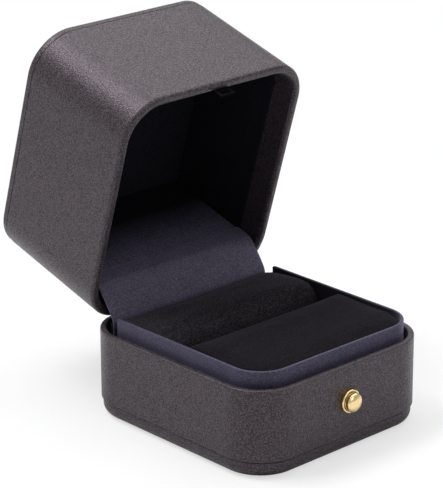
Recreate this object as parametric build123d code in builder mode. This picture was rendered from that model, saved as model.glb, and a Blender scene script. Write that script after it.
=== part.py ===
"""Hinged presentation box with a push-button catch and two velvet rolls.

Millimetres, +Z up. The origin is the middle of the underside, the button is on the -Y side
and the hinge on the +Y side. The lid stands open, as far as its stop. It is drawn in its own
frame, whose heights and depths are those that the lid has when it is closed on the base.
A depth that counts inwards starts at the outer face of the front wall.
"""

import os
from math import cos, radians, sin

from build123d import *

os.makedirs("parts", exist_ok=True)

# Overall sizes
width = 60.0
depth = 64.2
corner_r = 11.4
base_rim_z = 22.8
lid_h = 37.3
open_angle = 73.4

# Boards, coverings and clearances
skin = 0.4
collar_skin = 0.2
base_board = 0.8
lid_board = 1.6
collar_board = 0.5
floor_board = 1.5
lining = 1.0
base_seam_gap = 0.4
lid_seam_gap = 0.3
rest_gap = 0.1
fit_clearance = 0.03

# End panels and rims
bottom_panel_h = 3.9
bottom_inset = 0.45
bottom_round = 2.4
lid_panel_h = 2.0
lid_panel_inset = 0.1
lid_panel_round = 0.9
base_rim_round = 0.45
lid_rim_round = 1.0
base_turn_in = 6.0
lid_turn_in = 7.2

# Collar, insert and rolls; the heights above and below are counted from the base's rim
collar_clearance = 0.25
collar_above = 3.8
collar_wrap_h = 10.8
collar_past_corner = 0.7
collar_round = 0.35
insert_board_t = 1.0
insert_clearance = 0.3
insert_side_in = 3.8
hinge_room = 7.7
insert_back_t = 0.8
insert_back_above = 1.4
roll_gap = 0.15
roll_crown_above = 3.85
front_roll_edge_above = 3.2
rear_roll_edge_above = 2.3
front_shoulder_r = 3.4
rear_shoulder_r = 5.5
roll_end_round = 0.5
slot_front_y = -0.9
slot_w = 4.6

# Button and catch; the button is at half the height of the base's wall
cap_d = 4.9
cap_clearance = 0.15
cap_well_depth = 1.3
cap_skirt_h = 1.65
cap_dome_h = 1.15
cap_dome_full = 0.55
cap_proud = 0.3
bezel_wall = 0.25
flange_lip = 0.17
flange_t = 1.1
flange_round = 0.3
wire_d = 0.3
coil_d = 2.9
coil_turns = 5
coil_clearance = 0.15
barrel_wall = 0.45
barrel_end_t = 0.9
barrel_past_nut = 0.15
nut_wall = 1.2
nut_t = 1.2
stem_d = 2.0
stem_clearance = 0.05
stem_past_clip = 0.5
press_travel = 1.0
latch_t = 0.5
latch_w = 5.2
latch_foot = 2.2
latch_over_nose = 0.35
nose_w = 2.4
nose_h = 0.9
nose_below = 1.4
nose_chamfer = 0.3
nose_reach = 0.15
window_clearance = 0.3
clip_d = 3.6
clip_t = 0.4
pocket_clearance = 0.5
keeper_side = 1.0
keeper_foot = 0.65
keeper_above = 7.0
keeper_slot_clearance = 0.2
keeper_rivet_x = 1.5
keeper_rivet_up = 5.4

# Hinge
hinge_len = 32.0
knuckles = 5
knuckle_gap = 0.1
pin_r = 0.4
pin_clearance = 0.05
knuckle_wall = 0.45
leaf_t = 0.5
leaf_clearance = 0.4
leaf_past_rivet = 2.0
rivet_d = 1.2
rivet_x = 10.0
rivet_drop = 2.0
rivet_bite = 0.6
rivet_head_d = 2.2
rivet_head_t = 0.3
snap_t = 0.4
snap_w = 9.0
snap_h = 7.0
snap_bow = 1.6

# Lid lining and the cloth strip over the hinge
lid_back_in = 9.5
lid_back_foot = 3.0
strip_t = 0.5
strip_foot_below = 6.0
strip_bend_above = 1.6
strip_ease = 2.0

# Worked out from the sizes above
half_depth = depth / 2
base_wall = base_board + 2 * skin
lid_wall = lid_board + 2 * skin
collar_in = lid_wall + collar_clearance
card_in = collar_in + collar_skin
insert_in = card_in + collar_board + collar_skin
roll_in = insert_in + roll_gap
wall_foot_z = bottom_panel_h + base_seam_gap
floor_top_z = bottom_panel_h + floor_board
collar_top_z = base_rim_z + collar_above
collar_end_y = half_depth - corner_r + collar_past_corner
seat_d = cap_d + 2 * (cap_clearance + bezel_wall)
flange_d = seat_d + 2 * flange_lip
spring_well_d = coil_d + wire_d + 2 * coil_clearance
barrel_d = spring_well_d + 2 * barrel_wall
nut_flats = barrel_d + 2 * nut_wall
nut_corner_r = nut_flats / (2 * cos(radians(30)))
barrel_depth = insert_in + nut_t + barrel_past_nut
latch_depth = barrel_depth + rest_gap
clip_depth = latch_depth + latch_t
stem_depth = clip_depth + clip_t + stem_past_clip
pocket_depth = stem_depth + press_travel + pocket_clearance
button_z = (wall_foot_z + base_rim_z) / 2
insert_top_z = button_z - nut_flats / 2 - insert_clearance
insert_z = insert_top_z - insert_board_t
insert_back_y = half_depth - hinge_room
insert_half_w = width / 2 - insert_side_in
roll_crown_z = base_rim_z + roll_crown_above
nose_z = base_rim_z - nose_below
latch_top_z = nose_z + nose_h / 2 + latch_over_nose
lid_rim_z = base_rim_z + rest_gap
lid_top_z = lid_rim_z + lid_h
lid_panel_foot_z = lid_top_z - lid_panel_h
lid_ceiling_z = lid_panel_foot_z - floor_board
lid_lining_foot_z = lid_rim_z + lid_turn_in
lid_back_foot_z = lid_rim_z + lid_back_foot
lid_back_y = half_depth - lid_back_in
lid_core_in = skin + lid_board
lid_lining_in = lid_core_in + lining
pivot_y = half_depth - lid_rim_round
pivot_z = lid_rim_z + lid_rim_round
bore_r = pin_r + pin_clearance
knuckle_r = bore_r + knuckle_wall
base_leaf_y = half_depth - base_wall
lid_leaf_y = half_depth - lid_wall
notch_top_z = pivot_z + knuckle_r + leaf_clearance
notch_half_w = hinge_len / 2 + leaf_clearance
nose_depth = lid_core_in - nose_reach

turn = radians(open_angle)
base_frame = Plane.XY
lid_frame = Plane(
    origin=(
        0,
        pivot_y - pivot_y * cos(turn) - pivot_z * sin(turn),
        pivot_z + pivot_y * sin(turn) - pivot_z * cos(turn),
    ),
    x_dir=(1, 0, 0),
    z_dir=(0, sin(turn), cos(turn)),
)


def save(piece, name):
    """Label a finished piece and write it."""
    piece.part.label = name
    export_step(piece.part, f"parts/{name}.step")


def outline(inset, mode=Mode.ADD):
    """Draw the box's rounded plan, set in from its outer face."""
    RectangleRounded(width - 2 * inset, depth - 2 * inset, corner_r - inset, mode=mode)


def slab(frame, low, high, inset, mode=Mode.ADD):
    """Make a full plate between two heights."""
    with BuildSketch(frame.offset(low)) as plan:
        outline(inset)
    extrude(plan.sketch, amount=high - low, mode=mode)


def ring(frame, low, high, outer, inner, mode=Mode.ADD):
    """Make a closed wall between two heights and two insets."""
    with BuildSketch(frame.offset(low)) as plan:
        outline(outer)
        outline(inner, Mode.SUBTRACT)
    extrude(plan.sketch, amount=high - low, mode=mode)


def fence(frame, low, high, outer, inner, end_y, mode=Mode.ADD):
    """Make a wall round the front and both sides that ends at end_y."""
    with BuildSketch(frame.offset(low)) as plan:
        outline(outer)
        outline(inner, Mode.SUBTRACT)
        with Locations((0, end_y + half_depth)):
            Rectangle(width, depth, mode=Mode.SUBTRACT)
    extrude(plan.sketch, amount=high - low, mode=mode)


def bar(frame, low, high, wide, near_y, far_y, middle_x=0, mode=Mode.ADD):
    """Make a rectangular bar between two heights and two places along Y."""
    with BuildSketch(frame.offset(low)) as plan:
        with Locations((middle_x, (near_y + far_y) / 2)):
            Rectangle(wide, far_y - near_y)
    extrude(plan.sketch, amount=high - low, mode=mode)


def stud(frame, x, z, near_y, far_y, diameter, mode=Mode.ADD):
    """Make a round bar along the frame's Y."""
    start = frame.from_local_coords((x, near_y, z))
    with BuildSketch(Plane(origin=start, x_dir=frame.x_dir, z_dir=frame.y_dir)) as face:
        Circle(diameter / 2)
    extrude(face.sketch, amount=far_y - near_y, mode=mode)


def rod(start, end, diameter, mode=Mode.ADD):
    """Make a round bar on the button's axis between two depths."""
    stud(base_frame, 0, button_z, start - half_depth, end - half_depth, diameter, mode)


def side_plane(frame, x):
    """Return a plane across X on which a sketch's axes are the frame's Y and Z."""
    return Plane(origin=frame.from_local_coords((x, 0, 0)), x_dir=frame.y_dir, z_dir=frame.x_dir)


def end_edges(frame, top):
    """Return the edges that lie at the top or the foot of a piece in its frame."""
    groups = edges().group_by(Axis(frame.origin, frame.z_dir))
    return groups[-1] if top else groups[0]


def collar_openings():
    """Cut the barrel's hole and the nose's window through the front of the collar."""
    rod(base_wall, insert_in, barrel_d + 2 * fit_clearance, Mode.SUBTRACT)
    reach = nose_h / 2 + window_clearance
    near_y = base_wall - half_depth
    far_y = insert_in - half_depth
    window_w = nose_w + 2 * window_clearance
    bar(base_frame, nose_z - reach, nose_z + reach, window_w, near_y, far_y, mode=Mode.SUBTRACT)


# Bottom panel: a board in a wrap that is rounded at the foot
with BuildPart() as bottom_board:
    slab(base_frame, skin, bottom_panel_h, bottom_inset + skin)
    fillet(end_edges(base_frame, False), bottom_round - skin)
save(bottom_board, "bottom_board")

with BuildPart() as bottom_wrap:
    slab(base_frame, 0, bottom_panel_h, bottom_inset)
    fillet(end_edges(base_frame, False), bottom_round)
    add(bottom_board.part, mode=Mode.SUBTRACT)
save(bottom_wrap, "bottom_wrap")

with BuildPart() as base_floor:
    slab(base_frame, bottom_panel_h, floor_top_z, skin + base_board)
save(base_floor, "base_floor_board")

# Base wall: a board ring, covered outside, over the rim and a little way down inside
base_rivet_z = base_rim_z - base_turn_in - rivet_drop
base_leaf_foot_z = base_rivet_z - leaf_past_rivet
base_core_y = half_depth - skin - base_board
with BuildPart() as base_core:
    ring(base_frame, wall_foot_z, base_rim_z - skin, skin, skin + base_board)
    rod(0, base_wall, seat_d + 2 * fit_clearance, Mode.SUBTRACT)
    for x in (-rivet_x, rivet_x):
        stud(base_frame, x, base_rivet_z, base_core_y, base_core_y + rivet_bite,
             rivet_d + 2 * fit_clearance, Mode.SUBTRACT)
save(base_core, "base_wall_board")

with BuildPart() as base_wrap:
    ring(base_frame, wall_foot_z, base_rim_z, 0, skin)
    ring(base_frame, base_rim_z - base_turn_in, base_rim_z, 0, base_wall)
    fillet(end_edges(base_frame, True), base_rim_round)
    ring(base_frame, wall_foot_z, base_rim_z - skin, skin, skin + base_board, Mode.SUBTRACT)
    rod(0, base_wall, seat_d + 2 * fit_clearance, Mode.SUBTRACT)
save(base_wrap, "base_wall_wrap")

# Collar: a card that is covered over its top and its two rear ends
with BuildPart() as collar_card:
    fence(base_frame, floor_top_z, collar_top_z - collar_skin, card_in, card_in + collar_board,
          collar_end_y - collar_skin)
    collar_openings()
save(collar_card, "collar_card")

with BuildPart() as collar_wrap:
    fence(base_frame, collar_top_z - collar_wrap_h, collar_top_z, collar_in, insert_in, collar_end_y)
    fillet(end_edges(base_frame, True), collar_round)
    fence(base_frame, floor_top_z, collar_top_z - collar_skin, card_in, card_in + collar_board,
          collar_end_y - collar_skin, Mode.SUBTRACT)
    collar_openings()
save(collar_wrap, "collar_wrap")

# Insert: a shelf and a back card that carry the two rolls
with BuildPart() as insert_board:
    slab(base_frame, insert_z, insert_top_z, card_in + collar_board + fit_clearance)
    bar(base_frame, insert_z, insert_top_z, width, insert_back_y, half_depth, mode=Mode.SUBTRACT)
save(insert_board, "insert_board")

with BuildPart() as insert_back:
    bar(base_frame, floor_top_z, base_rim_z + insert_back_above, 2 * insert_half_w, insert_back_y,
        insert_back_y + insert_back_t)
    slab(base_frame, floor_top_z, collar_top_z, base_wall + fit_clearance, Mode.INTERSECT)
save(insert_back, "insert_back")


with BuildPart() as roll_mould:
    slab(base_frame, insert_top_z, roll_crown_z + roll_gap, roll_in)
    fillet(end_edges(base_frame, True), roll_end_round)


def roll(slot_y, wall_y, edge_above, shoulder_r):
    """Make a padded roll with a round shoulder at the slot and a crown towards its wall."""
    way = 1 if slot_y > wall_y else -1
    low_z = roll_crown_z - shoulder_r
    edge_z = base_rim_z + edge_above
    with BuildSketch(side_plane(base_frame, -width / 2)) as section:
        with BuildLine():
            Polyline((wall_y, edge_z), (wall_y, insert_top_z), (slot_y, insert_top_z), (slot_y, low_z))
            shoulder = TangentArc(
                (slot_y, low_z), (slot_y - way * shoulder_r, roll_crown_z), tangent=(0, 1)
            )
            TangentArc(shoulder @ 1, (wall_y, edge_z), tangent=(-way, 0))
        make_face()
    extrude(section.sketch, amount=width)
    add(roll_mould.part, mode=Mode.INTERSECT)


with BuildPart() as roll_front:
    roll(slot_front_y, roll_in - half_depth, front_roll_edge_above, front_shoulder_r)
    bar(base_frame, insert_top_z, latch_top_z + pocket_clearance,
        2 * (nut_corner_r + pocket_clearance), insert_in - half_depth, pocket_depth - half_depth,
        mode=Mode.SUBTRACT)
save(roll_front, "roll_front")

with BuildPart() as roll_rear:
    roll(slot_front_y + slot_w, insert_back_y - strip_t - roll_gap, rear_roll_edge_above,
         rear_shoulder_r)
save(roll_rear, "roll_rear")

# Button: a bezel through the wall and the collar, and a domed cap on a stem
with BuildPart() as bezel:
    rod(-flange_t, 0, flange_d)
    fillet(edges().group_by(Axis.Y)[0], flange_round)
    rod(0, base_wall, seat_d)
    rod(base_wall, barrel_depth, barrel_d)
    rod(-flange_t, cap_well_depth, cap_d + 2 * cap_clearance, Mode.SUBTRACT)
    rod(0, barrel_depth - barrel_end_t, spring_well_d, Mode.SUBTRACT)
    rod(0, barrel_depth, stem_d + 2 * stem_clearance, Mode.SUBTRACT)
save(bezel, "button_bezel")

with BuildPart() as nut:
    nut_face = Plane(origin=(0, insert_in - half_depth, button_z), x_dir=(1, 0, 0), z_dir=(0, 1, 0))
    with BuildSketch(nut_face):
        RegularPolygon(nut_corner_r, 6)
        Circle(barrel_d / 2 + fit_clearance, mode=Mode.SUBTRACT)
    extrude(amount=nut_t)
save(nut, "bezel_nut")

cap_back_y = -half_depth - cap_proud
cap_edge_y = cap_back_y - cap_skirt_h
cap_r = cap_d / 2
with BuildPart() as cap:
    with BuildSketch(side_plane(base_frame, 0)):
        with BuildLine():
            Polyline(
                (cap_edge_y - cap_dome_h, button_z),
                (cap_back_y, button_z),
                (cap_back_y, button_z + cap_r),
                (cap_edge_y, button_z + cap_r),
            )
            Bezier(
                (cap_edge_y, button_z + cap_r),
                (cap_edge_y - cap_dome_full * cap_dome_h, button_z + cap_r),
                (cap_edge_y - cap_dome_h, button_z + cap_dome_full * cap_r),
                (cap_edge_y - cap_dome_h, button_z),
            )
        make_face()
    revolve(axis=Axis((0, 0, button_z), (0, 1, 0)))
save(cap, "button_cap")

with BuildPart() as stem:
    rod(-cap_proud, stem_depth, stem_d)
save(stem, "button_stem")

coil_start_y = cap_back_y + wire_d
coil_len = barrel_depth - barrel_end_t - half_depth - wire_d - coil_start_y
with BuildPart() as coil:
    with BuildLine() as wire:
        Helix(coil_len / coil_turns, coil_len, coil_d / 2,
              center=(0, coil_start_y, button_z), direction=(0, 1, 0))
    with BuildSketch(Plane(origin=wire.line @ 0, z_dir=wire.line % 0)):
        Circle(wire_d / 2)
    sweep(path=wire.line, is_frenet=True)
save(coil, "button_spring")

# Catch: a plate on the stem whose nose enters the keeper's slot
nose_low_z = nose_z - nose_h / 2
with BuildPart() as latch:
    bar(base_frame, button_z - latch_foot, latch_top_z, latch_w, latch_depth - half_depth,
        clip_depth - half_depth)
    bar(base_frame, nose_low_z, nose_low_z + nose_h, nose_w, nose_depth - half_depth,
        latch_depth - half_depth)
    chamfer(edges().group_by(Axis.Y)[0].sort_by(Axis.Z)[-1], nose_chamfer)
    rod(latch_depth, clip_depth, stem_d + 2 * fit_clearance, Mode.SUBTRACT)
save(latch, "latch_plate")

with BuildPart() as clip:
    rod(clip_depth, clip_depth + clip_t, clip_d)
    rod(clip_depth, clip_depth + clip_t, stem_d + 2 * fit_clearance, Mode.SUBTRACT)
save(clip, "stem_clip")

# Hinge
knuckle_pitch = hinge_len / knuckles
lid_rivet_z = lid_lining_foot_z + rivet_drop
lid_leaf_top_z = lid_rivet_z + leaf_past_rivet
lid_core_y = half_depth - lid_core_in


def knuckle_row(frame, first, web_near_y, web_far_y, web_low, web_high):
    """Make every other knuckle of the hinge, each with the web that joins it to its leaf."""
    for index in range(first, knuckles, 2):
        start_x = index * knuckle_pitch - hinge_len / 2
        length = knuckle_pitch - knuckle_gap
        with BuildSketch(side_plane(frame, start_x)) as barrel:
            with Locations((pivot_y, pivot_z)):
                Circle(knuckle_r)
        extrude(barrel.sketch, amount=length)
        bar(frame, web_low, web_high, length, web_near_y, web_far_y, start_x + length / 2)
    with BuildSketch(side_plane(frame, -hinge_len)) as bore:
        with Locations((pivot_y, pivot_z)):
            Circle(bore_r)
    extrude(bore.sketch, amount=2 * hinge_len, mode=Mode.SUBTRACT)


with BuildPart() as base_leaf:
    leaf_near_y = base_leaf_y - leaf_t
    bar(base_frame, base_leaf_foot_z, base_rim_z, hinge_len - knuckle_gap, leaf_near_y,
        base_leaf_y, -knuckle_gap / 2)
    knuckle_row(base_frame, 0, leaf_near_y, base_leaf_y, base_rim_z, pivot_z)
    for x in (-rivet_x, rivet_x):
        stud(base_frame, x, base_rivet_z, leaf_near_y, base_leaf_y, rivet_d + 2 * fit_clearance,
             Mode.SUBTRACT)
save(base_leaf, "hinge_leaf_base")

with BuildPart() as lid_leaf:
    leaf_near_y = lid_leaf_y - leaf_t
    bar(lid_frame, notch_top_z, lid_leaf_top_z, hinge_len - knuckle_gap, leaf_near_y, lid_leaf_y,
        -knuckle_gap / 2)
    knuckle_row(lid_frame, 1, leaf_near_y, pivot_y - bore_r, pivot_z, notch_top_z + leaf_t)
    bar(lid_frame, notch_top_z, notch_top_z + leaf_t, hinge_len, lid_leaf_y, half_depth,
        mode=Mode.SUBTRACT)
    for x in (-rivet_x, rivet_x):
        stud(lid_frame, x, lid_rivet_z, leaf_near_y, lid_leaf_y, rivet_d + 2 * fit_clearance,
             Mode.SUBTRACT)
save(lid_leaf, "hinge_leaf_lid")

with BuildPart() as pin:
    with BuildSketch(side_plane(base_frame, -hinge_len / 2)):
        with Locations((pivot_y, pivot_z)):
            Circle(pin_r)
    extrude(amount=hinge_len - knuckle_gap)
save(pin, "hinge_pin")

for frame, rivet_z, leaf_y, core_y, place in (
    (base_frame, base_rivet_z, base_leaf_y, base_core_y, "base"),
    (lid_frame, lid_rivet_z, lid_leaf_y, lid_core_y, "lid"),
):
    for x, side in ((-rivet_x, "left"), (rivet_x, "right")):
        with BuildPart() as rivet:
            stud(frame, x, rivet_z, leaf_y - leaf_t - rivet_head_t, leaf_y - leaf_t, rivet_head_d)
            stud(frame, x, rivet_z, leaf_y - leaf_t, core_y + rivet_bite, rivet_d)
        save(rivet, f"hinge_rivet_{place}_{side}")

with BuildPart() as snap:
    snap_y = base_leaf_y - leaf_t - snap_t
    snap_low_z = base_rivet_z - rivet_head_d / 2
    with BuildSketch(side_plane(base_frame, -snap_w / 2)):
        with BuildLine():
            ThreePointArc(
                (snap_y, snap_low_z),
                (snap_y - snap_bow, snap_low_z + snap_h / 2),
                (snap_y, snap_low_z + snap_h),
            )
        trace(line_width=snap_t)
    extrude(amount=snap_w)
save(snap, "hinge_spring")

# Lid wall, drawn closed in the lid's frame
keeper_near_y = lid_core_in - half_depth
keeper_far_y = lid_wall - half_depth
keeper_rivet_z = lid_rim_z + keeper_rivet_up
keeper_slot_w = nose_w + 2 * window_clearance
keeper_slot_reach = nose_h / 2 + keeper_slot_clearance
keeper_w = keeper_slot_w + 2 * keeper_side
lid_wall_top_z = lid_panel_foot_z - lid_seam_gap


def hinge_notch():
    """Cut the lid's rear rim away where the hinge's barrel lies."""
    bar(lid_frame, lid_rim_z, notch_top_z, 2 * notch_half_w, lid_leaf_y, half_depth,
        mode=Mode.SUBTRACT)


with BuildPart() as lid_core:
    ring(lid_frame, lid_rim_z + skin, lid_wall_top_z, skin, lid_core_in)
    hinge_notch()
    for x in (-rivet_x, rivet_x):
        stud(lid_frame, x, lid_rivet_z, lid_core_y, lid_core_y + rivet_bite,
             rivet_d + 2 * fit_clearance, Mode.SUBTRACT)
    for x in (-keeper_rivet_x, keeper_rivet_x):
        stud(lid_frame, x, keeper_rivet_z, keeper_near_y - rivet_bite, keeper_near_y,
             rivet_d + 2 * fit_clearance, Mode.SUBTRACT)
save(lid_core, "lid_wall_board")

with BuildPart() as lid_wrap:
    ring(lid_frame, lid_rim_z, lid_wall_top_z, 0, skin)
    ring(lid_frame, lid_rim_z, lid_lining_foot_z, 0, lid_wall)
    fillet(end_edges(lid_frame, False), lid_rim_round)
    ring(lid_frame, lid_rim_z + skin, lid_wall_top_z, skin, lid_core_in, Mode.SUBTRACT)
    hinge_notch()
    bar(lid_frame, lid_rim_z, lid_lining_foot_z, keeper_w + 2 * fit_clearance, keeper_near_y,
        keeper_far_y, mode=Mode.SUBTRACT)
save(lid_wrap, "lid_wall_wrap")

# Lid top panel and the board that plugs it into the wall
with BuildPart() as lid_top_board:
    slab(lid_frame, lid_panel_foot_z, lid_top_z - skin, lid_panel_inset + skin)
save(lid_top_board, "lid_top_board")

with BuildPart() as lid_top_wrap:
    slab(lid_frame, lid_panel_foot_z, lid_top_z, lid_panel_inset)
    fillet(end_edges(lid_frame, True), lid_panel_round)
    slab(lid_frame, lid_panel_foot_z, lid_top_z - skin, lid_panel_inset + skin, Mode.SUBTRACT)
save(lid_top_wrap, "lid_top_wrap")

with BuildPart() as lid_plug:
    slab(lid_frame, lid_ceiling_z, lid_panel_foot_z, lid_core_in)
save(lid_plug, "lid_plug_board")

# Lid lining
lining_top_z = lid_ceiling_z - lining
with BuildPart() as lining_sides:
    fence(lid_frame, lid_lining_foot_z, lining_top_z, lid_core_in, lid_lining_in, lid_back_y + lining)
save(lining_sides, "lid_lining_sides")

with BuildPart() as lining_back:
    bar(lid_frame, lid_back_foot_z, lining_top_z, 2 * insert_half_w, lid_back_y, lid_back_y + lining)
    slab(lid_frame, lid_back_foot_z, lining_top_z, lid_lining_in + fit_clearance, Mode.INTERSECT)
save(lining_back, "lid_lining_back")

with BuildPart() as lining_top:
    slab(lid_frame, lining_top_z, lid_ceiling_z, lid_core_in)
save(lining_top, "lid_lining_top")

# Keeper under the lid's front rim
with BuildPart() as keeper:
    bar(lid_frame, nose_z - keeper_slot_reach - keeper_foot, lid_rim_z + keeper_above, keeper_w,
        keeper_near_y, keeper_far_y)
    bar(lid_frame, nose_z - keeper_slot_reach, nose_z + keeper_slot_reach, keeper_slot_w,
        keeper_near_y, keeper_far_y, mode=Mode.SUBTRACT)
    for x in (-keeper_rivet_x, keeper_rivet_x):
        stud(lid_frame, x, keeper_rivet_z, keeper_near_y, keeper_far_y,
             rivet_d + 2 * fit_clearance, Mode.SUBTRACT)
save(keeper, "keeper")

for x, side in ((-keeper_rivet_x, "left"), (keeper_rivet_x, "right")):
    with BuildPart() as rivet:
        stud(lid_frame, x, keeper_rivet_z, keeper_near_y - rivet_bite, keeper_far_y, rivet_d)
        stud(lid_frame, x, keeper_rivet_z, keeper_far_y, keeper_far_y + rivet_head_t, rivet_head_d)
    save(rivet, f"keeper_rivet_{side}")

# Cloth strip from the insert's back to the lid's lining
strip_base_y = insert_back_y - strip_t / 2 - fit_clearance
strip_lid_y = lid_back_y - strip_t / 2 - fit_clearance
strip_foot_z = base_rim_z - strip_foot_below
strip_bend_z = base_rim_z + strip_bend_above


def strip_on_lid(z):
    """Return where the strip's middle lies in the open lid, as world Y and Z."""
    place = lid_frame.from_local_coords((0, strip_lid_y, z))
    return (place.Y, place.Z)


with BuildPart() as strip:
    with BuildSketch(side_plane(base_frame, -insert_half_w)):
        with BuildLine():
            Line((strip_base_y, strip_foot_z), (strip_base_y, strip_bend_z))
            Bezier(
                (strip_base_y, strip_bend_z),
                (strip_base_y, strip_bend_z + strip_ease),
                strip_on_lid(lid_back_foot_z - strip_ease),
                strip_on_lid(lid_back_foot_z),
            )
            Line(strip_on_lid(lid_back_foot_z), strip_on_lid(lid_lining_foot_z))
        trace(line_width=strip_t)
    extrude(amount=2 * insert_half_w)
save(strip, "hinge_strip")
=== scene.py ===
"""Looks of the hinged presentation box: leatherette, navy cloth, velvet rolls, gilt button."""

from math import cos, pi, radians, sin

import bmesh
import bpy
import numpy as np
from mathutils import Matrix, Vector
from mathutils.bvhtree import BVHTree


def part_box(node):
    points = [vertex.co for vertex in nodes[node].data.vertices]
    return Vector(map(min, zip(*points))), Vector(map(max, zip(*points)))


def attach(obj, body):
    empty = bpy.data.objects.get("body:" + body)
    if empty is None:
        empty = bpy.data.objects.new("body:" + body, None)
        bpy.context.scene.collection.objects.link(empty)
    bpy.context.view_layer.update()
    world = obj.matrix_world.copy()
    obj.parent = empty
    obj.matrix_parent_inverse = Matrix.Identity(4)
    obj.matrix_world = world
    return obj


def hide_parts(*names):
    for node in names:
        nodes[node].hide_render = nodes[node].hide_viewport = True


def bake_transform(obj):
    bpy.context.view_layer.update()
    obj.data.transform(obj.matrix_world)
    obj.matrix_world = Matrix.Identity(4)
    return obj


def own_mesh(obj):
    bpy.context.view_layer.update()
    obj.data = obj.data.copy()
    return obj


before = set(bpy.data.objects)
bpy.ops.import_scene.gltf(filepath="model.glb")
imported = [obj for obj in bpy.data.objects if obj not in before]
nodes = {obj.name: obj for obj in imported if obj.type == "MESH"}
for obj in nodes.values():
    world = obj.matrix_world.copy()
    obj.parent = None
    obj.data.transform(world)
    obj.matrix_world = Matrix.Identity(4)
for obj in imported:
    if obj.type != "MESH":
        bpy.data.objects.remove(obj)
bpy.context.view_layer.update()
scene = bpy.context.scene
MM = 0.001


# Node helpers -------------------------------------------------------------------------------


class Tree:
    """A material's node tree with short calls."""

    def __init__(self, name):
        self.mat = bpy.data.materials.new(name)
        self.mat.use_nodes = True
        self.t = self.mat.node_tree
        self.t.nodes.clear()
        self.out = self.t.nodes.new("ShaderNodeOutputMaterial")
        self.coords = self.t.nodes.new("ShaderNodeTexCoord").outputs["Object"]

    def node(self, kind, **sockets):
        n = self.t.nodes.new(kind)
        for key, value in sockets.items():
            self.put(n, key.replace("_", " "), value)
        return n

    def put(self, n, key, value):
        socket = n.inputs[int(key)] if key.isdigit() else n.inputs[key]
        if isinstance(value, bpy.types.NodeSocket):
            self.t.links.new(value, socket)
        else:
            socket.default_value = value

    def mapped(self, scale, turn=(0, 0, 0)):
        n = self.node("ShaderNodeMapping", Vector=self.coords)
        n.inputs["Scale"].default_value = scale if hasattr(scale, "__len__") else (scale,) * 3
        n.inputs["Rotation"].default_value = turn
        return n.outputs[0]

    def noise(self, vector, scale=1.0, detail=2.0, rough=0.5):
        n = self.node("ShaderNodeTexNoise", Vector=vector, Scale=scale, Detail=detail,
                      Roughness=rough)
        return n.outputs["Fac"]

    def voronoi(self, vector, scale):
        return self.node("ShaderNodeTexVoronoi", Vector=vector, Scale=scale).outputs["Distance"]

    def math(self, op, a, b=0.0):
        n = self.t.nodes.new("ShaderNodeMath")
        n.operation = op
        self.put(n, "0", a)
        self.put(n, "1", b)
        return n.outputs[0]

    def weighted(self, *parts):
        """Add up values, each times its weight."""
        total = None
        for value, weight in reversed(parts):
            term = self.math("MULTIPLY", value, weight)
            total = term if total is None else self.math("ADD", term, total)
        return total

    def vector(self, op, *values):
        """Vector Math: a number for a length or dot product, a vector for the rest."""
        n = self.t.nodes.new("ShaderNodeVectorMath")
        n.operation = op
        for i, value in enumerate(values):
            self.put(n, str(i), value)
        return n.outputs["Value" if op in ("LENGTH", "DOT_PRODUCT") else "Vector"]

    def ramp(self, value, stops):
        n = self.t.nodes.new("ShaderNodeValToRGB")
        self.put(n, "Fac", value)
        while len(n.color_ramp.elements) < len(stops):
            n.color_ramp.elements.new(0.5)
        for e, (at, colour) in zip(n.color_ramp.elements, stops):
            e.position = at
            e.color = (*colour, 1)
        return n.outputs["Color"]

    def range(self, value, low, high, to_low, to_high):
        n = self.t.nodes.new("ShaderNodeMapRange")
        self.put(n, "Value", value)
        self.put(n, "From Min", low)
        self.put(n, "From Max", high)
        self.put(n, "To Min", to_low)
        self.put(n, "To Max", to_high)
        return n.outputs["Result"]

    def blend(self, factor, a, b):
        """Mix two colours, each a tuple or a socket."""
        n = self.t.nodes.new("ShaderNodeMix")
        n.data_type = "RGBA"
        for i, value in ((0, factor), (6, a), (7, b)):
            self.put(n, str(i), (*value, 1) if isinstance(value, tuple) else value)
        return n.outputs[2]

    def bump(self, height, strength, distance, under=None):
        n = self.node("ShaderNodeBump", Height=height, Strength=strength, Distance=distance)
        if under is not None:
            self.put(n, "Normal", under)
        return n.outputs["Normal"]

    def mix_shader(self, factor, a, b):
        n = self.node("ShaderNodeMixShader", Fac=factor)
        self.t.links.new(a, n.inputs[1])
        self.t.links.new(b, n.inputs[2])
        return n.outputs[0]

    def principled(self, **sockets):
        n = self.node("ShaderNodeBsdfPrincipled", **sockets)
        self.t.links.new(n.outputs[0], self.out.inputs["Surface"])


def scaled(colour, k):
    return tuple(c * k for c in colour)


# Materials ----------------------------------------------------------------------------------

LEATHER = (0.0440, 0.0350, 0.0412)
NAVY = (0.050, 0.043, 0.079)
VELVET = (0.0046, 0.0039, 0.0052)
# Painted light and shade: lit and shaded copies of the same cloths, fitted to how light or dark
# each place looks
LIT_HINGE_NAVY = (0.084, 0.073, 0.118)
SHADED_LINING_NAVY = (0.012, 0.0108, 0.0155)
LIT_LID_BACK_NAVY = (0.104, 0.092, 0.143)
COLLAR_INSIDE_SHADE = (0.006, 0.0055, 0.008)
LIT_REAR_VELVET = (0.0160, 0.0141, 0.0172)

# Painted shade: the lid's back lining darkens from this point, this way and over this length, to
# this share
LID_BACK_PAINTED_SHADE = ((0, 0.0364, 0.0362), (0, 0.958, 0.286), 0.014, 0.05)
# The centre lines of the base's round corners, and how far out the collar's cloth turns over;
# nearer in, the collar's cloth gets painted shade
CORNER_LINES = (("X", 0.0186), ("Y", 0.0207))
COLLAR_TURN = (0.0079, 0.0081)


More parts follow.
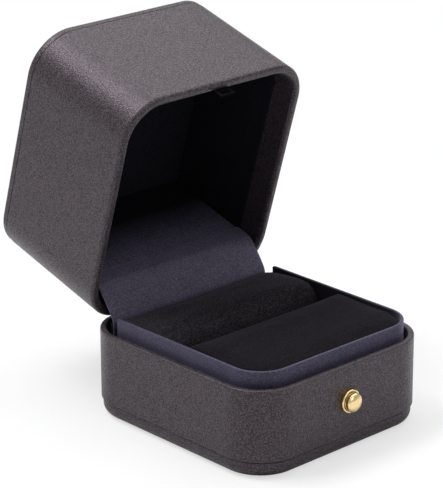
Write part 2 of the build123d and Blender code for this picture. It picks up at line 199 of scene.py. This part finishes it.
def leatherette():
    """Coated cloth with a fine pebbled grain and a slight lilac sheen."""
    grain_depth = 0.00010
    t = Tree("leatherette")
    at = t.mapped(1.0)
    wobble = t.node("ShaderNodeTexNoise", Vector=at, Scale=2500.0, Detail=1.0)
    bent = t.vector("MULTIPLY_ADD", wobble.outputs["Color"], (0.00018, 0.00018, 0.00018), at)
    pebbles = t.math("SUBTRACT", 1.0, t.voronoi(bent, 2800))
    speck = t.noise(at, 3000, 2.0, 0.6)
    cloud = t.noise(at, 260, 3.0, 0.55)
    mix = t.weighted((pebbles, 0.45), (speck, 0.50), (cloud, 0.05))
    colour = t.ramp(mix, [(0.41, scaled(LEATHER, 0.32)), (0.53, LEATHER),
                          (0.66, scaled(LEATHER, 2.5))])
    rough = t.range(mix, 0.4, 0.66, 0.46, 0.33)
    normal = t.bump(speck, 0.45, grain_depth, t.bump(pebbles, 0.55, grain_depth))
    t.principled(Base_Color=colour, Roughness=rough, Normal=normal,
                 Specular_IOR_Level=0.40, Specular_Tint=(1.0, 0.86, 0.96, 1),
                 Sheen_Weight=0.10, Sheen_Roughness=0.35, Sheen_Tint=(0.90, 0.78, 0.90, 1))
    return t.mat


def outline_distance(t):
    """How far a point stands out from the centre lines of the base's round corners, in metres."""
    parts = t.t.nodes.new("ShaderNodeSeparateXYZ")
    t.put(parts, "0", t.coords)
    squares = []
    for axis, straight in CORNER_LINES:
        over = t.math("SUBTRACT", t.math("ABSOLUTE", parts.outputs[axis]), straight)
        squares.append(t.math("POWER", t.math("MAXIMUM", over, 0.0), 2.0))
    return t.math("SQRT", t.math("ADD", *squares))


def navy_cloth(name, tone=NAVY, sheen=0.30, gloss=0.30, shade_line=None, inside_shade=None):
    """Close-woven satin cloth: fine crossed threads and a soft sheen.

    The shade line darkens it along a line, and the inside shade gives the collar's inside its
    tone: both are painted shade."""
    t = Tree(name)
    at = t.mapped(1.0)
    threads = []
    for turn in ((0, 0, 0), (0, 0, radians(90)), (0, radians(90), 0)):
        w = t.node("ShaderNodeTexWave", Vector=t.mapped(1.0, turn), Scale=1100.0,
                   Distortion=1.2, Detail=1.0, Detail_Scale=1.5)
        w.wave_profile = "SIN"
        threads.append(w.outputs["Fac"])
    crossed = t.math("ADD", threads[0], t.math("ADD", threads[1], threads[2]))
    weave = t.math("MULTIPLY", crossed, 0.333)
    fuzz = t.noise(at, 2300, 2.0, 0.6)
    cloud = t.noise(at, 150, 2.0, 0.5)
    mix = t.weighted((weave, 0.08), (fuzz, 0.77), (cloud, 0.15))
    colour = t.ramp(mix, [(0.34, scaled(tone, 0.5)), (0.50, tone), (0.66, scaled(tone, 1.6))])
    # painted shade on the collar's inside face
    if inside_shade:
        outside = t.range(outline_distance(t), *COLLAR_TURN, 0.0, 1.0)
        colour = t.blend(outside, inside_shade, colour)
    # painted shade: darker and darker along the line
    if shade_line:
        start, way, reach, share = shade_line
        past = t.vector("DOT_PRODUCT", t.vector("SUBTRACT", t.coords, start), way)
        colour = t.blend(t.range(past, 0.0, reach, 0.0, 1.0), colour, scaled(tone, share))
    rough = t.range(fuzz, 0.3, 0.7, 0.72, 0.56)
    normal = t.bump(weave, 0.12, 0.00004, t.bump(fuzz, 0.35, 0.00008))
    t.principled(Base_Color=colour, Roughness=rough, Normal=normal, Specular_IOR_Level=gloss,
                 Sheen_Weight=sheen, Sheen_Roughness=0.42, Sheen_Tint=(0.70, 0.68, 0.95, 1))
    return t.mat


def velvet(name, tone):
    """Short-pile velvet: near black, with a pile that catches light at a slant."""
    t = Tree(name)
    pile = t.noise(t.mapped(1.0), 2100, 3.0, 0.65)
    brushed = t.noise(t.mapped((90, 260, 200)), 1.0, 3.0, 0.55)
    mix = t.weighted((pile, 0.80), (brushed, 0.20))
    colour = t.ramp(mix, [(0.38, scaled(tone, 0.45)), (0.50, tone), (0.64, scaled(tone, 2.4))])
    rough = t.range(pile, 0.3, 0.7, 0.95, 0.8)
    normal = t.bump(pile, 0.55, 0.00012, t.bump(brushed, 0.2, 0.0002))
    t.principled(Base_Color=colour, Roughness=rough, Normal=normal, Specular_IOR_Level=0.04,
                 Sheen_Weight=0.09, Sheen_Roughness=0.5, Sheen_Tint=(0.74, 0.66, 0.80, 1))
    return t.mat


def gilt():
    """Polished pale gold with faint handling marks."""
    t = Tree("gilt_metal")
    cloud = t.noise(t.mapped(1.0), 900, 3.0, 0.6)
    hair = t.noise(t.mapped((6000, 500, 6000)), 1.0, 2.0, 0.5)
    colour = t.ramp(cloud, [(0.30, (0.76, 0.55, 0.26)), (0.55, (0.88, 0.68, 0.36)),
                            (0.8, (0.93, 0.76, 0.46))])
    rough = t.range(hair, 0.25, 0.75, 0.13, 0.24)
    normal = t.bump(hair, 0.06, 0.00002)
    t.principled(Base_Color=colour, Metallic=1.0, Roughness=rough, Normal=normal)
    return t.mat


def plain_metal(name, tone, rough_low, rough_high, metallic=1.0, specular=0.5):
    """Rolled or blackened metal with fine drawn lines."""
    t = Tree(name)
    lines = t.noise(t.mapped((400, 5000, 5000)), 1.0, 2.0, 0.55)
    cloud = t.noise(t.mapped(1.0), 500, 2.0, 0.5)
    colour = t.ramp(cloud, [(0.3, scaled(tone, 0.8)), (0.7, scaled(tone, 1.15))])
    rough = t.range(lines, 0.3, 0.7, rough_low, rough_high)
    normal = t.bump(lines, 0.15, 0.00002)
    t.principled(Base_Color=colour, Metallic=metallic, Roughness=rough, Normal=normal,
                 Specular_IOR_Level=specular)
    return t.mat


def board():
    """Grey chipboard with flecks."""
    t = Tree("board")
    fibre = t.noise(t.mapped((1400, 1400, 4200)), 1.0, 4.0, 0.7)
    fleck = t.voronoi(t.mapped(1.0), 700)
    colour = t.ramp(fibre, [(0.3, (0.26, 0.24, 0.20)), (0.55, (0.40, 0.36, 0.31)),
                            (0.8, (0.52, 0.48, 0.42))])
    normal = t.bump(fibre, 0.4, 0.0001, t.bump(fleck, 0.2, 0.00008))
    t.principled(Base_Color=colour, Roughness=0.9, Normal=normal, Specular_IOR_Level=0.2)
    return t.mat


finishes = {
    "board": board(),
    "leatherette": leatherette(),
    "navy_cloth": navy_cloth("navy_cloth"),
    "velvet": velvet("velvet", VELVET),
    "gilt_metal": gilt(),
    "dark_metal": plain_metal("dark_metal", (0.006, 0.006, 0.007), 0.7, 0.85, 0.0, 0.0),
    "steel": plain_metal("steel", (0.50, 0.49, 0.48), 0.24, 0.38),
}
# Painted shade: a darker copy of the navy cloth for the lid's side and top lining and the insert's
# back
lining = navy_cloth("lid_lining", SHADED_LINING_NAVY, sheen=0.02, gloss=0.06)
own_finish = {
    "lid_lining_sides": lining,
    "lid_lining_top": lining,
    # Painted light near the hinge, turning to painted shade deeper in the lid
    "lid_lining_back": navy_cloth("lid_partition_painted_light_and_shade", LIT_LID_BACK_NAVY, sheen=0.04, gloss=0.06,
                                  shade_line=LID_BACK_PAINTED_SHADE),
    "insert_back": lining,
    # Painted shade on the collar's inside
    "collar_wrap": navy_cloth("collar_cloth_shaded_inside", inside_shade=COLLAR_INSIDE_SHADE),
}


def slot_of(name):
    """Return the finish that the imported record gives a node."""
    for m in nodes[name].data.materials:
        key = m.name.split(".")[0] if m else ""
        if key in finishes:
            return key
    return "board"


for name, obj in nodes.items():
    finish = own_finish.get(name) or finishes[slot_of(name)]
    for i in range(max(1, len(obj.data.materials))):
        if i < len(obj.material_slots):
            obj.material_slots[i].material = finish
        else:
            obj.data.materials.append(finish)


# Soft pieces --------------------------------------------------------------------------------


def shade_smooth(mesh):
    for p in mesh.polygons:
        p.use_smooth = True


def new_object(name, mesh, finish):
    obj = bpy.data.objects.new(name, mesh)
    scene.collection.objects.link(obj)
    obj.data.materials.clear()
    obj.data.materials.append(finish)
    shade_smooth(obj.data)
    return obj


def apply_modifiers(obj):
    dg = bpy.context.evaluated_depsgraph_get()
    mesh = bpy.data.meshes.new_from_object(obj.evaluated_get(dg))
    obj.modifiers.clear()
    old = obj.data
    obj.data = mesh
    bpy.data.meshes.remove(old)
    shade_smooth(obj.data)


def tree_of(obj):
    bm = bmesh.new()
    bm.from_mesh(obj.data)
    bmesh.ops.triangulate(bm, faces=bm.faces)
    tree = BVHTree.FromBMesh(bm)
    bm.free()
    return tree


# Padding is blown up at ten times its size, where the solver's lengths suit it
BIG = 10.0
VOXEL = 0.0062  # the remesh's step, at that size
DRAW_IN = 0.002  # how far inside the solid the skin starts, at that size
GLUED = 0.012  # how much of the underside stays on its shelf, at that size
SWELL_CAP = 0.005  # the furthest a point may swell, at that size
FRAMES = 20
EVENING_ROUNDS = 14
TINY = 1e-9
CROWN_ROOM = 0.00035  # how far the crown may stand over the solid, in metres
SKIN_ROOM = 0.00003  # how far any part of the skin may, in metres


def draw_in(obj):
    bm = bmesh.new()
    bm.from_mesh(obj.data)
    bm.normal_update()
    for v in bm.verts:
        v.co -= v.normal * DRAW_IN
    bm.to_mesh(obj.data)
    bm.free()


def swelling(obj):
    """How far each point moves as cloth under pressure, capped and evened out."""
    start = np.array([v.co for v in obj.data.vertices])
    group = obj.vertex_groups.new(name="glued")
    foot = min(c[2] for c in start) + GLUED
    group.add([i for i, c in enumerate(start) if c[2] < foot], 1.0, "REPLACE")
    cloth = obj.modifiers.new("cloth", "CLOTH")
    s = cloth.settings
    s.quality = 6
    s.mass = 0.3
    s.use_pressure = True
    s.uniform_pressure_force = 4.0
    s.effector_weights.gravity = 0
    s.vertex_group_mass = "glued"
    s.tension_stiffness = 40
    s.compression_stiffness = 40
    s.shear_stiffness = 20
    s.bending_stiffness = 2.0
    cloth.point_cache.frame_start = 1
    cloth.point_cache.frame_end = FRAMES
    for f in range(1, FRAMES + 1):
        scene.frame_set(f)
    dg = bpy.context.evaluated_depsgraph_get()
    blown = np.array([v.co for v in obj.evaluated_get(dg).data.vertices])
    scene.frame_set(1)
    obj.modifiers.clear()
    obj.vertex_groups.clear()
    move = blown - start
    size = np.linalg.norm(move, axis=1)
    move *= (np.minimum(size, SWELL_CAP) / np.maximum(size, TINY))[:, None]
    # the pile hides fine wrinkles, so each point's move is averaged with its neighbours'
    ends = np.array([e.vertices for e in obj.data.edges])
    share = np.bincount(ends.ravel(), minlength=len(move)) + 1.0
    for _ in range(EVENING_ROUNDS):
        total = move.copy()
        np.add.at(total, ends[:, 0], move[ends[:, 1]])
        np.add.at(total, ends[:, 1], move[ends[:, 0]])
        move = total / share[:, None]
    return move


def keep_in_room(obj, source):
    """Hold the skin in the room of its solid, with a crown that may stand a little over it."""
    tree = tree_of(source)
    for v in obj.data.vertices:
        near, normal, _, _ = tree.find_nearest(v.co)
        out = (v.co - near).dot(normal)
        room = CROWN_ROOM * max(0.0, normal.z) ** 2 + SKIN_ROOM
        if out > room:
            v.co -= normal * (out - room)


def padded_roll(node, name, finish):
    """A foam roll in velvet: the roll's solid, drawn in a little and blown up as cloth."""
    source = nodes[node]
    lo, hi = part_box(node)
    middle = (Vector(lo) + Vector(hi)) / 2
    obj = new_object(name, source.data.copy(), finish)
    obj.data.transform(Matrix.Translation(-middle))
    obj.data.transform(Matrix.Scale(BIG, 4))
    remesh = obj.modifiers.new("remesh", "REMESH")
    remesh.mode = "VOXEL"
    remesh.voxel_size = VOXEL
    apply_modifiers(obj)
    smooth = obj.modifiers.new("smooth", "SMOOTH")
    smooth.factor = 0.5
    smooth.iterations = 3
    apply_modifiers(obj)
    draw_in(obj)
    for v, m in zip(obj.data.vertices, swelling(obj)):
        v.co += Vector(m)
    obj.data.transform(Matrix.Scale(1 / BIG, 4))
    obj.data.transform(Matrix.Translation(middle))
    keep_in_room(obj, source)
    sub = obj.modifiers.new("sub", "SUBSURF")
    sub.levels = sub.render_levels = 1
    apply_modifiers(obj)
    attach(obj, "base")
    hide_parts(node)


padded_roll("roll_front", "velvet_roll_front", finishes["velvet"])
# Painted light: the rear roll's velvet is a lighter copy of the front roll's
padded_roll("roll_rear", "velvet_roll_rear", velvet("velvet_rear_painted_light", LIT_REAR_VELVET))


# Hinge cloth: a strip from the card behind the rear roll up to the lid's lining ---------------

# Lengths are in millimetres, and points are Y and Z
PIVOT = (31.1, 23.9)
OPEN = radians(73.4)
STRIP_HALF_W = 26.2
STRIP_THICK = 0.36
CARD_FOOT = (24.12, 17.0)
CARD_TOP = (24.12, 24.4)
LID_FACE_Y = 22.32  # the lining's face and the strip's ends on it, in the closed lid
LID_FROM, LID_TO = 25.9, 30.0
EASE = 1.8  # how far the bend runs on straight at each end
CURVE_STEPS, END_STEPS, ACROSS = 34, 10, 96
RIPPLE = 0.35
CURL, CURL_FROM = 0.25, 0.93


def lid_to_world(y, z):
    """A point of the closed lid, as Y and Z in the open pose, in millimetres."""
    dy, dz = y - PIVOT[0], z - PIVOT[1]
    return (PIVOT[0] + dy * cos(OPEN) + dz * sin(OPEN), PIVOT[1] - dy * sin(OPEN) + dz * cos(OPEN))


def bezier(p0, p1, p2, p3, n):
    out = []
    for i in range(n + 1):
        t = i / n
        out.append(tuple(
            (1 - t) ** 3 * a + 3 * t * (1 - t) ** 2 * b + 3 * t * t * (1 - t) * c + t**3 * d
            for a, b, c, d in zip(p0, p1, p2, p3)
        ))
    return out


def run(p, q, n):
    """n points from p towards q, without q itself."""
    return [tuple(a + (b - a) * i / n for a, b in zip(p, q)) for i in range(n)]


def strip_faces(bm, front, back):
    """Join the two grids of points into one closed strip."""
    last, cols = len(front) - 1, len(front[0]) - 1
    for j in range(last):
        for i in range(cols):
            bm.faces.new((front[j][i], front[j][i + 1], front[j + 1][i + 1], front[j + 1][i]))
            bm.faces.new((back[j][i + 1], back[j][i], back[j + 1][i], back[j + 1][i + 1]))
        bm.faces.new((front[j][0], front[j + 1][0], back[j + 1][0], back[j][0]))
        bm.faces.new((front[j + 1][cols], front[j][cols], back[j][cols], back[j + 1][cols]))
    for i in range(cols):
        bm.faces.new((front[0][i + 1], front[0][i], back[0][i], back[0][i + 1]))
        bm.faces.new((front[last][i], front[last][i + 1], back[last][i + 1], back[last][i]))
    bmesh.ops.recalc_face_normals(bm, faces=bm.faces)


def hinge_cloth():
    """The cloth over the hinge, with slight ripples where it hangs free."""
    lid_start = lid_to_world(LID_FACE_Y, LID_FROM)
    lid_end = lid_to_world(LID_FACE_Y, LID_TO)
    curve = bezier(CARD_TOP, (CARD_TOP[0], CARD_TOP[1] + EASE),
                   lid_to_world(LID_FACE_Y, LID_FROM - EASE), lid_start, CURVE_STEPS)
    upper = run(lid_start, lid_end, END_STEPS)[1:] + [lid_end]
    line = np.array(run(CARD_FOOT, CARD_TOP, END_STEPS) + curve + upper)
    step = np.r_[0, np.cumsum(np.linalg.norm(np.diff(line, axis=0), axis=1))]
    length = step[-1]
    tangent = np.gradient(line, axis=0)
    tangent /= np.linalg.norm(tangent, axis=1)[:, None]
    normal = np.c_[-tangent[:, 1], tangent[:, 0]]  # towards the box's front
    rng = np.random.default_rng(7)
    waves = [(rng.uniform(0.05, 0.16), rng.uniform(0, 2 * pi), rng.uniform(0.2, 1.0))
             for _ in range(5)]
    bm = bmesh.new()
    faces = []
    for side in (0.5, -0.5):
        rows = []
        for j in range(len(line)):
            row = []
            # 0 where the strip is glued and 1 in the middle of its free length
            loose = sin(pi * min(1, max(0, (step[j] / length - 0.25) / 0.6))) ** 2
            for i in range(ACROSS + 1):
                x = STRIP_HALF_W * (2 * i / ACROSS - 1)
                ripple = sum(a * sin(x * k + p) for a, p, k in waves) * RIPPLE * loose
                edge = abs(x) / STRIP_HALF_W
                curl = -CURL * max(0.0, edge - CURL_FROM) / (1 - CURL_FROM) * loose
                off = ripple + curl + side * STRIP_THICK
                y = line[j][0] + normal[j][0] * off
                z = line[j][1] + normal[j][1] * off
                row.append(bm.verts.new((x * MM, y * MM, z * MM)))
            rows.append(row)
        faces.append(rows)
    strip_faces(bm, *faces)
    mesh = bpy.data.meshes.new("hinge_cloth")
    bm.to_mesh(mesh)
    bm.free()
    # Painted light: the hinge cloth is a lighter copy of the navy cloth
    obj = new_object("hinge_cloth", mesh, navy_cloth("strip_cloth_painted_light", LIT_HINGE_NAVY))
    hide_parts("hinge_strip")
    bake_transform(obj)


hinge_cloth()


# Button spring ------------------------------------------------------------------------------


def soft_spring():
    """The button's spring as a piece of its own, on the base."""
    obj = new_object("coil_spring", nodes["button_spring"].data.copy(), finishes["steel"])
    obj.matrix_world = nodes["button_spring"].matrix_world.copy()
    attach(obj, "base")
    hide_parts("button_spring")
    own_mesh(obj)


soft_spring()


# Stage: pale floor, white surroundings, soft lamps --------------------------------------------

FLOOR_HALF = 2.5
FLOOR_FADE = (0.11, 0.24)  # between these distances the floor turns into the white background
FLOOR_WHITE = 0.62  # how much of the near floor is plain white to the camera
WORLD_SOFT = 0.09
GLOSS_WHITE = 0.5  # how much of the white background a reflection shows


def floor():
    bm = bmesh.new()
    bmesh.ops.create_grid(bm, x_segments=40, y_segments=40, size=FLOOR_HALF)
    mesh = bpy.data.meshes.new("floor")
    bm.to_mesh(mesh)
    bm.free()
    t = Tree("floor")
    far = t.range(t.vector("LENGTH", t.coords), *FLOOR_FADE, 0.0, 1.0)
    path = t.t.nodes.new("ShaderNodeLightPath").outputs
    seen = t.math("MAXIMUM", path["Is Camera Ray"], path["Is Glossy Ray"])
    paper = t.noise(t.mapped(1.0), 60, 3.0, 0.5)
    pale = t.ramp(paper, [(0.3, (0.88, 0.88, 0.885)), (0.7, (0.90, 0.90, 0.90))])
    diffuse = t.node("ShaderNodeBsdfDiffuse", Color=pale).outputs[0]
    glow = t.node("ShaderNodeEmission", Strength=1.0).outputs[0]
    near = t.mix_shader(t.math("MULTIPLY", path["Is Camera Ray"], FLOOR_WHITE), diffuse, glow)
    ground = t.mix_shader(t.math("MULTIPLY", far, seen), near, glow)
    t.t.links.new(ground, t.out.inputs["Surface"])
    obj = bpy.data.objects.new("floor", mesh)
    scene.collection.objects.link(obj)
    obj.data.materials.append(t.mat)


def surroundings():
    """White to the camera, half white in reflections, and a soft fill light."""
    world = bpy.data.worlds.new("world")
    scene.world = world
    world.use_nodes = True
    w = world.node_tree
    w.nodes.clear()
    out = w.nodes.new("ShaderNodeOutputWorld")
    path = w.nodes.new("ShaderNodeLightPath").outputs
    soft = w.nodes.new("ShaderNodeBackground")
    soft.inputs["Color"].default_value = (0.96, 0.97, 1.0, 1)
    soft.inputs["Strength"].default_value = WORLD_SOFT
    white = w.nodes.new("ShaderNodeBackground")
    white.inputs["Color"].default_value = (1, 1, 1, 1)
    half = w.nodes.new("ShaderNodeMath")
    half.operation = "MULTIPLY"
    half.inputs[1].default_value = GLOSS_WHITE
    either = w.nodes.new("ShaderNodeMath")
    either.operation = "MAXIMUM"
    mix = w.nodes.new("ShaderNodeMixShader")
    w.links.new(path["Is Glossy Ray"], half.inputs[0])
    w.links.new(path["Is Camera Ray"], either.inputs[0])
    w.links.new(half.outputs[0], either.inputs[1])
    w.links.new(either.outputs[0], mix.inputs[0])
    w.links.new(soft.outputs[0], mix.inputs[1])
    w.links.new(white.outputs[0], mix.inputs[2])
    w.links.new(mix.outputs[0], out.inputs[0])


def lamp(name, at, look, size, watts):
    light = bpy.data.lights.new(name, "AREA")
    light.shape = "RECTANGLE"
    light.size, light.size_y = size
    light.energy = watts
    obj = bpy.data.objects.new(name, light)
    scene.collection.objects.link(obj)
    way = Vector(look) - Vector(at)
    turn = way.to_track_quat("-Z", "Y").to_matrix().to_4x4()
    obj.matrix_world = Matrix.Translation(at) @ turn


floor()
surroundings()
lamp("overhead", (0.28, 0.13, 0.83), (0, 0.02, 0.04), (1.5, 1.1), 8.9)
lamp("key", (-0.32, 0.32, 0.82), (0, 0.02, 0.05), (0.40, 0.40), 5.7)
lamp("front", (-0.12, -0.80, 0.50), (0, 0, 0.03), (0.5, 0.5), 1.1)


# Camera: fitted to the photograph's outlines --------------------------------------------------

AZIMUTH, ELEVATION, ROLL = radians(-43.02), radians(20.198), radians(-0.223)
DISTANCE, FOCAL_PX, PHOTO_WIDTH_PX = 0.57649, 2376.33, 443
SENSOR_MM = 36.0
target = Vector((-0.011817, 0, 0.048209))
away = Vector((sin(AZIMUTH) * cos(ELEVATION), -cos(AZIMUTH) * cos(ELEVATION), sin(ELEVATION)))
level = Vector((cos(AZIMUTH), sin(AZIMUTH), 0))
upright = away.cross(level)
right = cos(ROLL) * level + sin(ROLL) * upright
up = cos(ROLL) * upright - sin(ROLL) * level
camera_data = bpy.data.cameras.new("camera")
camera_data.sensor_fit = "HORIZONTAL"
camera_data.sensor_width = SENSOR_MM
camera_data.lens = FOCAL_PX * SENSOR_MM / PHOTO_WIDTH_PX
camera_data.clip_start = 0.01
camera = bpy.data.objects.new("camera", camera_data)
scene.collection.objects.link(camera)
spot = target + away * DISTANCE
camera.matrix_world = Matrix((
    (right.x, up.x, away.x, spot.x),
    (right.y, up.y, away.y, spot.y),
    (right.z, up.z, away.z, spot.z),
    (0, 0, 0, 1),
))
scene.camera = camera
scene.view_settings.view_transform = "Standard"
